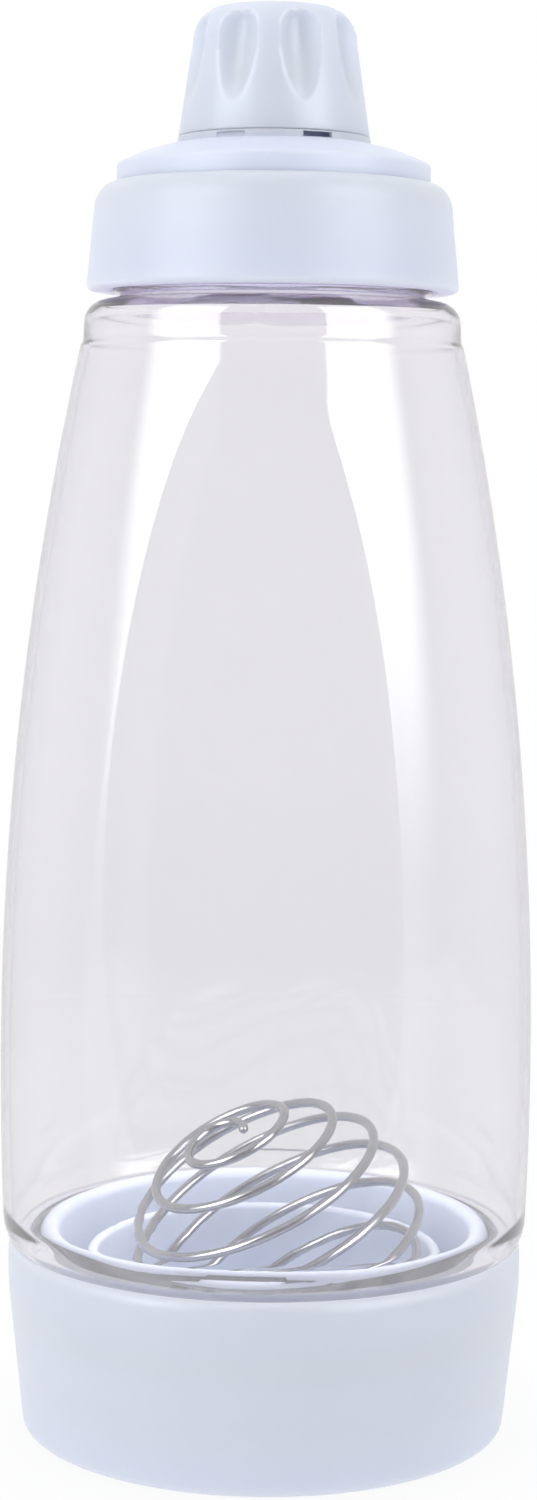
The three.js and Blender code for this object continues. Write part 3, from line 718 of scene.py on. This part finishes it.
def make_spout():
    flange = reach("spout_insert")
    floor = low("spout_insert")
    tip = high("spout_insert")
    disc = collar_bore() - LIP_REACH - GAP
    disc_top = high("lid_collar") + DISC_EDGE
    cone_foot = tip - TIP_LENGTH
    ring_floor = cone_foot - SPOUT_STRAIGHT
    ring_top = low("nozzle_cap") - RING_SEAM
    ring = reach("nozzle_cap") + RING_REACH
    spout = spout_radius()
    bore = spout - SPOUT_WALL
    seat = cone_foot - SEAT_DROP
    dome = []
    for i in range(1, DISC_ROWS):
        share = i / DISC_ROWS
        bulge = 4 * DISC_BULGE * share * (1 - share)
        dome.append((disc + (ring - disc) * share, disc_top + (ring_floor - disc_top) * share + bulge, 0))
    corners = [
        (disc - DISC_WALL, floor, EDGE),
        (flange, floor, EDGE),
        (flange, floor + FLANGE_THICKNESS, EDGE),
        (disc, floor + FLANGE_THICKNESS, EDGE),
        (disc, disc_top, DISC_EDGE_ROUND),
        *dome,
        (ring, ring_floor, EDGE),
        (ring, ring_top, EDGE),
        (ring - RING_WALL, ring_top, EDGE),
        (ring - RING_WALL, ring_floor, EDGE),
        *climb(spout, ring_floor, cone_foot),
        (TIP_RADIUS, tip, TIP_ROUND),
        (TIP_BORE, tip, EDGE),
        (TIP_BORE, tip - TIP_LAND, EDGE),
        (bore - SEAT_REACH, cone_foot, EDGE),
        (bore - SEAT_REACH, seat, EDGE),
        (bore, seat, EDGE),
        (bore, ring_floor - DISC_WALL, EDGE),
        (ring, ring_floor - DISC_WALL, FLOOR_FILLET),
        (disc - DISC_WALL, disc_top - DISC_WALL, EDGE),
    ]
    relief = ridges(CAP_THREAD, spout, spout_thread_start(), 1)
    piece = turn_outline("domed_spout", corners, relief=relief)
    cut(piece, ring_slots(ring, ring_floor))
    return piece


def ring_slots(ring, ring_floor):
    """Boxes of the open slots and the blind notches in the ring under the cap."""
    kinds = [(turn, SLOT_DEPTH, 0) for turn in SLOT_TURNS]
    kinds += [(turn, NOTCH_DEPTH, NOTCH_TILT) for turn in NOTCH_TURNS]
    slots = []
    for turn, depth, tilt in kinds:
        size = Vector((SLOT_WIDTH, 2 * depth, SLOT_HEIGHT)) * MM
        middle = Matrix.Translation(place(ring, turn, ring_floor + GAP / 2 + SLOT_HEIGHT / 2))
        turned = Matrix.Rotation(math.radians(turn), 4, "Z") @ Matrix.Rotation(math.radians(-tilt), 4, "X")
        slots.append((size, middle @ turned))
    return slots


def dish(inner, bottom):
    """Points of the valve's hollow from its rim to the axis, as a shallow arc."""
    bend = (inner * inner + VALVE_DISH * VALVE_DISH) / (2 * VALVE_DISH)
    sweep = math.asin(inner / bend)
    angles = [sweep * (1 - i / DISH_ROWS) for i in range(DISH_ROWS + 1)]
    return [(bend * math.sin(a), bottom + bend * (1 - math.cos(a)), 0) for a in angles]


def make_valve():
    outer = reach("spout_valve")
    top = high("spout_valve")
    inner = outer - RETAINER_WALL
    bottom = top - VALVE_DISH
    corners = [
        *reversed(dish(inner, bottom - VALVE_WALL)),
        (outer, top - VALVE_FLANGE, EDGE),
        (outer, top, EDGE),
        *dish(inner, bottom),
    ]
    piece = turn_outline("slit_valve", corners)
    size = Vector((SLIT_LENGTH, SLIT_WIDTH, SLIT_CUT)) * MM
    middle = Matrix.Translation(place(0, 0, bottom))
    cut(piece, [(size, middle @ Matrix.Rotation(math.radians(turn), 4, "Z")) for turn in (0, 90)])
    return piece


def make_retainer():
    outer = reach("valve_retainer")
    floor = low("valve_retainer")
    return flat_ring("valve_ring", outer - RETAINER_WALL, outer, floor, high("valve_retainer"))


# Cap


def flute_depth(turn, z):
    """Depth of a flute at a height above the cap's foot: blunt at its top, narrowing downwards."""
    pitch = 360 / FLUTES
    offset = abs(turn % pitch - pitch / 2)
    upper = z > FLUTE_DEEPEST
    along = (z - FLUTE_DEEPEST) / ((FLUTE_TOP if upper else FLUTE_BOTTOM) - FLUTE_DEEPEST)
    across = offset / FLUTE_HALF_TURN
    fall = along ** (FLUTE_TOP_BLUNTNESS if upper else FLUTE_BOTTOM_BLUNTNESS)
    return FLUTE_DEPTH * max(0, 1 - fall - across * across)


def make_cap():
    foot = low("nozzle_cap")
    top = high("nozzle_cap")
    radius = reach("nozzle_cap")
    bore = radius - CAP_WALL
    side_top = top - CAP_CORNER_RISE
    shoulder = radius - CAP_TAPER
    ceiling = top - CAP_TOP_WALL
    side = []
    for i in range(1, CAP_ROWS):
        share = i / CAP_ROWS
        side.append((radius - CAP_TAPER * share, foot + (side_top - foot) * share, 0))
    side += oval_edge(shoulder, side_top, CAP_CORNER, CAP_CORNER_RISE, CORNER_ROWS)
    corners = [
        (radius, foot, CAP_EDGE),
        *side,
        (0, top, 0),
        (0, ceiling, 0),
        (PLUG_POCKET_RADIUS, ceiling, EDGE),
        (PLUG_POCKET_RADIUS, high("spout_insert") + GAP, EDGE),
        *climb(bore, foot + CAP_THREAD_DEPTH, foot),
    ]
    start = spout_thread_start() - CAP_THREAD["lead"] / STARTS / 2
    thread = ridges(CAP_THREAD, bore, start, -1)

    def relief(r, z, turn):
        inside = PLUG_POCKET_RADIUS if z > side_top else bore
        flute = flute_depth(turn, z - foot) if r > inside + WALL_MATCH else 0
        return thread(r, z, turn) - flute

    return turn_outline("fluted_cap", corners, CAP_SIDES, relief)


def make_stopper():
    floor = high("spout_insert") + GAP
    stem = TIP_BORE - GAP
    corners = [
        (0, floor - PLUG_STEM, 0),
        (stem - PLUG_CHAMFER, floor - PLUG_STEM, EDGE),
        (stem, floor - PLUG_STEM + PLUG_CHAMFER, EDGE),
        (stem, floor, EDGE),
        (reach("cap_plug"), floor, EDGE),
        (reach("cap_plug"), high("cap_plug"), EDGE),
        (0, high("cap_plug"), 0),
    ]
    return turn_outline("stopper", corners)


# Whisk ball


def wire_path():
    """Middle line of the wire: a hook, the winding from pole to pole, and a second hook."""
    radius = BALL_RADIUS - WIRE_RADIUS
    pole_radius = radius * math.sin(BALL_POLE)
    pole_height = BALL_FLATNESS * radius * math.cos(BALL_POLE)

    def around(r, angle, z):
        return Vector((r * math.cos(angle), r * math.sin(angle), z))

    def hook(side, angle):
        steps = round(HOOK_TURNS * LOOP_STEPS)
        points = []
        for i in range(1, steps + 1):
            share = i / steps
            r = pole_radius + (HOOK_RADIUS - pole_radius) * share
            turned = angle - side * 2 * math.pi * HOOK_TURNS * share
            points.append(around(r, turned, side * (pole_height - HOOK_DIP * share * share)))
        return points

    steps = round(BALL_TURNS * LOOP_STEPS)
    winding = []
    for i in range(steps + 1):
        polar = BALL_POLE + (math.pi - 2 * BALL_POLE) * i / steps
        angle = 2 * math.pi * i / LOOP_STEPS
        winding.append(around(radius * math.sin(polar), angle, BALL_FLATNESS * radius * math.cos(polar)))
    return hook(1, 0)[::-1] + winding + hook(-1, 2 * math.pi * BALL_TURNS)


def wire_rings(path):
    """Rings round the wire, with rounded ends."""
    rings = []
    across = Vector((0, 0, 1))
    last = len(path) - 1
    for i, point in enumerate(path):
        along = (path[min(last, i + 1)] - path[max(0, i - 1)]).normalized()
        across = (across - along * across.dot(along)).normalized()
        up = along.cross(across)
        end = -1 if i == 0 else 1
        steps = WIRE_END_RINGS if i in (0, last) else 1
        cap = [math.pi / 2 * k / WIRE_END_RINGS for k in range(steps)]
        for angle in reversed(cap) if i == 0 else cap:
            middle = point + along * end * WIRE_RADIUS * math.sin(angle)
            size = WIRE_RADIUS * math.cos(angle)
            ring = []
            for j in range(WIRE_SIDES):
                turn = 2 * math.pi * j / WIRE_SIDES
                ring.append(middle + (across * math.cos(turn) + up * math.sin(turn)) * size)
            rings.append(ring)
    return rings


def make_whisk():
    lean = Vector((0, 0, 1)).rotation_difference(Vector(BALL_AXIS).normalized()).to_matrix()
    lean = lean @ Matrix.Rotation(math.radians(BALL_PHASE), 3, "Z")
    path = [lean @ point for point in wire_path()]
    lowest = min(point.z for point in path) - WIRE_RADIUS
    centre = Vector((*BALL_LEAN, low("whisk_ball") - lowest))
    rings = [[(centre + point) * MM for point in ring] for ring in wire_rings(path)]
    return skin("wire_whisk", rings, ends="capped")


# Materials


def node(tree, kind, inputs=None, **settings):
    """New node with its settings, and with values or links put into its inputs."""
    made = tree.nodes.new(kind)
    for name, value in settings.items():
        setattr(made, name, value)
    for name, value in (inputs or {}).items():
        if isinstance(value, bpy.types.NodeSocket):
            tree.links.new(value, made.inputs[name])
        else:
            made.inputs[name].default_value = value
    return made


def calc(tree, operation, *values):
    """Result of a sum on numbers or links."""
    made = node(tree, "ShaderNodeMath", dict(enumerate(values)), operation=operation)
    return made.outputs[0]


def ramp(tree, value, start, end, first, last):
    """Smooth change from first to last while value goes from start to end."""
    inputs = {"Value": value, "From Min": start, "From Max": end, "To Min": first, "To Max": last}
    made = node(tree, "ShaderNodeMapRange", inputs, interpolation_type="SMOOTHSTEP")
    return made.outputs["Result"]


def blend(tree, share, first, last):
    """Number that goes from first to last with a share of 0 to 1."""
    return node(tree, "ShaderNodeMix", {0: share, 2: first, 3: last}).outputs[0]


def blend_colour(tree, share, first, last):
    """Colour that goes from first to last with a share of 0 to 1."""
    return node(tree, "ShaderNodeMix", {0: share, 6: first, 7: last}, data_type="RGBA").outputs[2]


def blend_shader(tree, share, first, last):
    """Shader that goes from first to last with a share of 0 to 1."""
    return node(tree, "ShaderNodeMixShader", {0: share, 1: first, 2: last}).outputs[0]


def bounced(tree, depth, count):
    """1 where a light path has bounced at least so often in one way, which its depth counts, and else 0."""
    return calc(tree, "GREATER_THAN", depth, count - 0.5)


def noise(tree, scale, detail):
    """Noise fixed to the object, with scale in features per metre."""
    where = node(tree, "ShaderNodeTexCoord").outputs["Object"]
    inputs = {"Vector": where, "Scale": scale, "Detail": detail}
    return node(tree, "ShaderNodeTexNoise", inputs).outputs["Fac"]


def blank_material(name):
    """New material and its empty node tree."""
    material = bpy.data.materials.new(name)
    material.use_nodes = True
    material.node_tree.nodes.clear()
    return material, material.node_tree


def grain(tree, scale, depth):
    """Fine relief of a depth in metres."""
    inputs = {"Height": noise(tree, scale, GRAIN_DETAIL), "Distance": depth, "Strength": 1.0}
    return node(tree, "ShaderNodeBump", inputs).outputs["Normal"]


def uneven(tree, surface, shade, colour):
    """What a moulded or drawn surface has: a colour between two near tones, patchy gloss and a fine grain."""
    patches = noise(tree, surface["sheen"], PATCH_DETAIL)
    return {
        "Base Color": blend_colour(tree, noise(tree, surface["tone"], PATCH_DETAIL), shade, colour),
        "Roughness": ramp(tree, patches, *NOISE_RANGE, *surface["rough"]),
        "Normal": grain(tree, surface["grain"], surface["depth"]),
    }


def show(tree, shader):
    """Puts a shader on the surface."""
    node(tree, "ShaderNodeOutputMaterial", {"Surface": shader})


def white_plastic():
    """Moulded polypropylene: satin, faintly blue, with the fine grain of a spark-eroded mould."""
    material, tree = blank_material("white_polypropylene")
    inputs = uneven(tree, WHITE_SURFACE, WHITE_SHADE, WHITE) | {
        "Subsurface Weight": 0.6,
        "Subsurface Radius": (1.0, 1.0, 1.15),
        "Subsurface Scale": 0.004,
        "IOR": 1.49,
    }
    show(tree, node(tree, "ShaderNodeBsdfPrincipled", inputs).outputs[0])
    return material


def clear_plastic():
    """Clear copolyester with a trace of grey, which lets the lamps' light through to what is inside."""
    material, tree = blank_material("clear_copolyester")
    inputs = {
        "Base Color": CLEAR,
        "Roughness": 0.03,
        "Transmission Weight": 0.93,
        "IOR": 1.5,
        "Normal": grain(tree, CLEAR_WAVE, CLEAR_WAVE_DEPTH),
    }
    plastic = node(tree, "ShaderNodeBsdfPrincipled", inputs).outputs[0]
    open_way = node(tree, "ShaderNodeBsdfTransparent", {"Color": SHADOW_TINT}).outputs[0]
    shadow = node(tree, "ShaderNodeLightPath").outputs["Is Shadow Ray"]
    show(tree, blend_shader(tree, shadow, plastic, open_way))
    return material


def silicone():
    """Milky silicone rubber with a dull skin."""
    material, tree = blank_material("milky_silicone")
    inputs = uneven(tree, MILKY_SURFACE, MILKY_SHADE, MILKY) | {
        "Subsurface Weight": 0.3,
        "Subsurface Scale": 0.002,
    }
    show(tree, node(tree, "ShaderNodeBsdfPrincipled", inputs).outputs[0])
    return material


def steel_wire():
    """Drawn stainless wire, polished, with faint drawing marks."""
    material, tree = blank_material("polished_wire")
    inputs = uneven(tree, STEEL_SURFACE, STEEL_SHADE, STEEL) | {"Metallic": 1.0}
    show(tree, node(tree, "ShaderNodeBsdfPrincipled", inputs).outputs[0])
    return material


# Studio


def add_camera():
    data = bpy.data.cameras.new("photo_camera")
    data.sensor_width = SENSOR
    data.lens = FOCAL_PIXELS / PHOTO_HEIGHT * SENSOR
    camera = bpy.data.objects.new("photo_camera", data)
    turned = Matrix.Rotation(math.radians(CAMERA_AZIMUTH), 4, "Z")
    tilted = Matrix.Rotation(math.radians(90 - CAMERA_TILT), 4, "X")
    rolled = Matrix.Rotation(math.radians(CAMERA_ROLL), 4, "Z")
    spot = place(CAMERA_DISTANCE, CAMERA_AZIMUTH, CAMERA_HEIGHT)
    camera.matrix_world = Matrix.Translation(spot) @ turned @ tilted @ rolled
    bpy.context.scene.collection.objects.link(camera)
    bpy.context.scene.camera = camera


def add_lamp(name, spot, target, size, power, spread=180, tint=(1, 1, 1)):
    """Softbox that lights matt surfaces. What shines shows the world's softboxes instead."""
    data = bpy.data.lights.new(name, "AREA")
    data.shape = "RECTANGLE"
    data.size, data.size_y = size
    data.energy = power
    data.spread = math.radians(spread)
    data.color = tint
    lamp = bpy.data.objects.new(name, data)
    lamp.location = spot
    lamp.rotation_euler = (target - spot).to_track_quat("-Z", "Y").to_euler()
    lamp.visible_camera = False
    lamp.visible_glossy = False
    lamp.visible_transmission = False
    bpy.context.scene.collection.objects.link(lamp)


def add_lamps():
    middle = Vector((0, 0, cad_box[1][2] / 2))
    for name, side, power in zip(("left_softbox", "right_softbox"), (-1, 1), LAMP_POWERS):
        turn = CAMERA_AZIMUTH + side * LAMP_TURN
        spot = place(LAMP_DISTANCE / MM, turn, LAMP_HEIGHT / MM)
        add_lamp(name, spot, middle, LAMP_SIZE, power)
    above = Vector((0, 0, TOP_LAMP_HEIGHT))
    add_lamp("top_softbox", above, middle, (TOP_LAMP_SIZE, TOP_LAMP_SIZE), TOP_LAMP_POWER)
    inside = Vector((0, 0, FILL_LAMP_HEIGHT))
    fill_size = (FILL_LAMP_SIZE, FILL_LAMP_SIZE)
    add_lamp("base_fill", inside, Vector(), fill_size, FILL_LAMP_POWER, FILL_LAMP_SPREAD)
    under_neck = Vector((0, 0, NECK_LAMP_HEIGHT))
    neck_size = (NECK_LAMP_SIZE, NECK_LAMP_SIZE)
    add_lamp("neck_fill", under_neck, above, neck_size, NECK_LAMP_POWER, tint=NECK_LAMP_TINT)


def add_world():
    """White room behind the object. In reflections it has two softboxes and a dark side behind the camera."""
    world = bpy.data.worlds.new("studio")
    world.use_nodes = True
    world.cycles.sampling_method = "NONE"
    bpy.context.scene.world = world
    tree = world.node_tree
    tree.nodes.clear()
    direction = node(tree, "ShaderNodeTexCoord").outputs["Generated"]
    axes = node(tree, "ShaderNodeSeparateXYZ", {0: direction}).outputs
    turn = calc(tree, "ARCTAN2", axes["X"], calc(tree, "MULTIPLY", axes["Y"], -1.0))
    from_camera = calc(tree, "SUBTRACT", turn, math.radians(CAMERA_AZIMUTH))
    off = calc(tree, "ABSOLUTE", calc(tree, "WRAP", from_camera, math.pi, -math.pi))
    rise = calc(tree, "ARCSINE", axes["Z"])

    def between(value, angles, first, last):
        return ramp(tree, value, math.radians(angles[0]), math.radians(angles[1]), first, last)

    def edge(value, at, soft, first, last):
        return between(value, (at - soft, at + soft), first, last)

    box = calc(tree, "MULTIPLY", edge(off, BOX_NEAR, BOX_SOFT, 0, 1), edge(off, BOX_FAR, BOX_FADE, 1, 0))
    box = calc(tree, "MULTIPLY", box, edge(rise, BOX_LOW, BOX_LOW_FADE, BOX_FOOT, 1))
    box = calc(tree, "MULTIPLY", box, edge(rise, BOX_HIGH, BOX_FADE, 1, 0))
    room = between(off, ROOM_TURNS, ROOM_DARK, ROOM_SIDE)
    room = calc(tree, "MAXIMUM", room, between(rise, CEILING_RISES, 0.0, 1.0))
    mirrored = calc(tree, "MULTIPLY_ADD", box, BOX_GLOW, room)

    # Light is thrown back inside the clear wall where it was mirrored after one or two crossings, or twice
    path = node(tree, "ShaderNodeLightPath").outputs
    by_mirror = bounced(tree, path["Glossy Depth"], 1)
    crossed_once = bounced(tree, path["Transmission Depth"], 1)
    crossed_thrice = bounced(tree, path["Transmission Depth"], 3)
    in_wall = calc(tree, "SUBTRACT", crossed_once, crossed_thrice)
    in_wall = calc(tree, "MULTIPLY", in_wall, by_mirror)
    in_wall = calc(tree, "MAXIMUM", in_wall, bounced(tree, path["Glossy Depth"], 2))
    mirrored = blend(tree, in_wall, mirrored, WALL_GLOW)
    by_matt = bounced(tree, path["Diffuse Depth"], 1)
    seen = blend(tree, by_mirror, 1.0, mirrored)
    ambient = between(off, AMBIENT_TURNS, AMBIENT_FRONT, AMBIENT_BEHIND)
    strength = blend(tree, by_matt, seen, ambient)
    tint = blend_colour(tree, in_wall, WHITE_LIGHT, WALL_TINT)
    light = node(tree, "ShaderNodeBackground", {"Color": tint, "Strength": strength}).outputs[0]
    node(tree, "ShaderNodeOutputWorld", {"Surface": light})


def add_floor():
    """Pale floor, which isn't there for what shines."""
    mesh = bmesh.new()
    bmesh.ops.create_circle(mesh, cap_ends=True, segments=FLOOR_SIDES, radius=FLOOR_RADIUS)
    data = bpy.data.meshes.new("studio_floor")
    mesh.to_mesh(data)
    mesh.free()
    floor = bpy.data.objects.new("studio_floor", data)
    bpy.context.scene.collection.objects.link(floor)
    material, tree = blank_material("white_sweep")
    matt = node(tree, "ShaderNodeBsdfDiffuse", {"Color": FLOOR_WHITE}).outputs[0]
    glow = node(tree, "ShaderNodeEmission").outputs[0]
    where = node(tree, "ShaderNodeTexCoord").outputs["Object"]
    away = node(tree, "ShaderNodeVectorMath", {0: where}, operation="LENGTH").outputs["Value"]
    sweep = blend_shader(tree, ramp(tree, away, *FLOOR_FADE, FLOOR_GLOW, 1.0), matt, glow)
    mirrored = bounced(tree, node(tree, "ShaderNodeLightPath").outputs["Glossy Depth"], 1)
    open_way = node(tree, "ShaderNodeBsdfTransparent").outputs[0]
    show(tree, blend_shader(tree, mirrored, sweep, open_way))
    data.materials.append(material)


# The dispenser: each piece with its body, the node that it replaces and its finish

add_camera()
finishes = {
    "white_plastic": white_plastic(),
    "clear_plastic": clear_plastic(),
    "silicone": silicone(),
    "steel_wire": steel_wire(),
}
PIECES = (
    (make_base_cup, "base", "base_cup", "white_plastic"),
    (make_seal, "seal", "base_seal", "silicone"),
    (make_bottle, "bottle", "bottle_body", "clear_plastic"),
    (make_collar, "collar", "lid_collar", "white_plastic"),
    (make_gasket, "spout", "lid_gasket", "silicone"),
    (make_spout, "spout", "spout_insert", "white_plastic"),
    (make_valve, "spout", "spout_valve", "silicone"),
    (make_retainer, "spout", "valve_retainer", "white_plastic"),
    (make_cap, "cap", "nozzle_cap", "white_plastic"),
    (make_stopper, "plug", "cap_plug", "silicone"),
    (make_whisk, "ball", "whisk_ball", "steel_wire"),
)
for make, body, solid, finish in PIECES:
    piece = make()
    smooth(piece)
    piece.data.materials.append(finishes[finish])
    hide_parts(solid)
    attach(piece, body)

add_lamps()
add_world()
add_floor()
bpy.context.scene.view_settings.view_transform = "Standard"
